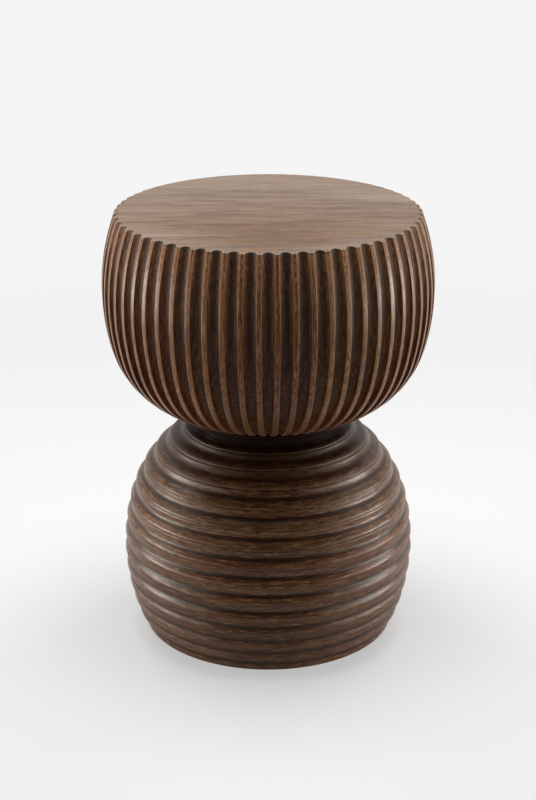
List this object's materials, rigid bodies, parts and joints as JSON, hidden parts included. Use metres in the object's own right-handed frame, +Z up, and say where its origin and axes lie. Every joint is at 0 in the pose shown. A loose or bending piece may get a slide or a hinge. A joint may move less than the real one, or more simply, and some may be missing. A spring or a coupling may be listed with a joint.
{
  "type": "stool",
  "caption": "Round wooden stool: a vertically fluted bowl with a flat seat on a horizontally ribbed round base, joined at a narrow neck.",
  "frame": {"origin": "middle of the foot, on the floor", "axes": "+Z up along the axis of the stool; the grain of the seat strips runs along X; the picture looks along +Y"},
  "size_m": [0.3348, 0.3348, 0.45],
  "materials": {
    "seat_walnut": "satin oiled walnut, straight grain along X",
    "stave_walnut": "satin oiled walnut, upright grain",
    "ring_walnut": "satin oiled walnut, grain round the ring",
    "neck_walnut": "satin oiled walnut, polished edge",
    "plywood": "raw birch plywood",
    "beech": "raw beech",
    "zinc_steel": "zinc plated",
    "felt": "dense wool felt"
  },
  "bodies": {
    "root": {"seat_strip_1": "seat_walnut", "seat_strip_2": "seat_walnut", "seat_strip_3": "seat_walnut", "seat_strip_4": "seat_walnut", "seat_strip_5": "seat_walnut", "seat_core": "plywood", "core_screws": "zinc_steel", "bowl_stave_01": "stave_walnut", "bowl_stave_02": "stave_walnut", "bowl_stave_03": "stave_walnut", "bowl_stave_04": "stave_walnut", "bowl_stave_05": "stave_walnut", "bowl_stave_06": "stave_walnut", "bowl_stave_07": "stave_walnut", "bowl_stave_08": "stave_walnut", "bowl_stave_09": "stave_walnut", "bowl_stave_10": "stave_walnut", "bowl_stave_11": "stave_walnut", "bowl_stave_12": "stave_walnut", "stave_splines": "plywood", "bowl_floor": "plywood", "neck_block": "neck_walnut", "neck_dowels": "beech", "neck_bolt": "zinc_steel", "upper_washer": "zinc_steel", "lower_washer": "zinc_steel", "neck_nut": "zinc_steel", "base_ring_1": "ring_walnut", "base_ring_2": "ring_walnut", "base_ring_3": "ring_walnut", "base_ring_4": "ring_walnut", "base_ring_5": "ring_walnut", "base_ring_6": "ring_walnut", "base_ring_7": "ring_walnut", "ring_dowels": "beech", "base_cover": "plywood", "cover_screws": "zinc_steel", "felt_foot": "felt"}
  },
  "joints": []
}
